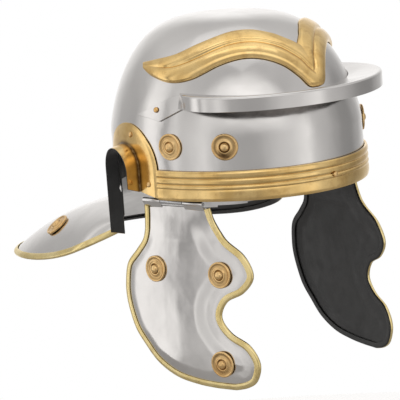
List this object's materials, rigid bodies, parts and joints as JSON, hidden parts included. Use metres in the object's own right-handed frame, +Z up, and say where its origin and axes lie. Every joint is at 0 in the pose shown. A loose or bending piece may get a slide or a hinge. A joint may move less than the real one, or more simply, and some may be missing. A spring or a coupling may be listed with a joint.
{
  "type": "roman legionary helmet",
  "caption": "Polished steel helmet bowl with broad neck guard, brow guard, brass brow band, embossed eyebrows, ear guards and hinged cheek guards.",
  "frame": {"origin": "inside of the crown at its middle, where the helmet sits on a head", "axes": "+Z up, the face opening towards -Y, the neck guard towards +Y, the wearer's right towards -X"},
  "size_m": [0.2392, 0.3671, 0.3041],
  "materials": {
    "polished_steel": "polished sheet steel with faint hammer marks and hairline scratches, black satin paint inside",
    "hinge_steel": "plain satin steel, slightly dull",
    "edging_brass": "thin polished brass binding",
    "sheet_brass": "polished brass sheet with slight mottled tarnish",
    "fitting_brass": "pressed brass, darker in the recesses"
  },
  "bodies": {
    "shell": {"bowl": "polished_steel", "neck_guard_edging": "edging_brass", "brow_band": "sheet_brass", "brow_guard": "polished_steel", "eyebrows": "sheet_brass", "ear_guard_right": "sheet_brass", "ear_guard_left": "sheet_brass", "hinge_leaf_right": "hinge_steel", "hinge_leaf_left": "hinge_steel", "hinge_pin_right": "hinge_steel", "hinge_pin_left": "hinge_steel", "rosette_temple_right": "fitting_brass", "rosette_temple_left": "fitting_brass", "rosette_brow_right": "fitting_brass", "rosette_brow_left": "fitting_brass", "rosette_neck_guard_right": "fitting_brass", "rosette_neck_guard_left": "fitting_brass", "rivet_tab_right": "fitting_brass", "rivet_tab_left": "fitting_brass", "rivet_ear_top_right": "fitting_brass", "rivet_ear_top_left": "fitting_brass", "rivet_ear_front_right": "fitting_brass", "rivet_ear_front_left": "fitting_brass", "rivet_ear_rear_right": "fitting_brass", "rivet_ear_rear_left": "fitting_brass", "rivet_band": "fitting_brass"},
    "cheek_right": {"cheek_guard_right": "polished_steel", "cheek_edging_right": "edging_brass", "rosette_cheek_rear_right": "fitting_brass", "rosette_cheek_front_right": "fitting_brass", "rosette_cheek_lower_right": "fitting_brass"},
    "cheek_left": {"cheek_guard_left": "polished_steel", "cheek_edging_left": "edging_brass", "rosette_cheek_rear_left": "fitting_brass", "rosette_cheek_front_left": "fitting_brass", "rosette_cheek_lower_left": "fitting_brass"}
  },
  "joints": [
    {"name": "cheek_hinge_right", "type": "hinge", "parent": "shell", "child": "cheek_right", "pos_m": [-0.09191, -0.01675, -0.1458], "axis": [-0.1358, 0.9907, 0], "range_deg": [-22, 85]},
    {"name": "cheek_hinge_left", "type": "hinge", "parent": "shell", "child": "cheek_left", "pos_m": [0.09191, -0.01675, -0.1458], "axis": [-0.1358, -0.9907, 0], "range_deg": [-22, 85]}
  ]
}
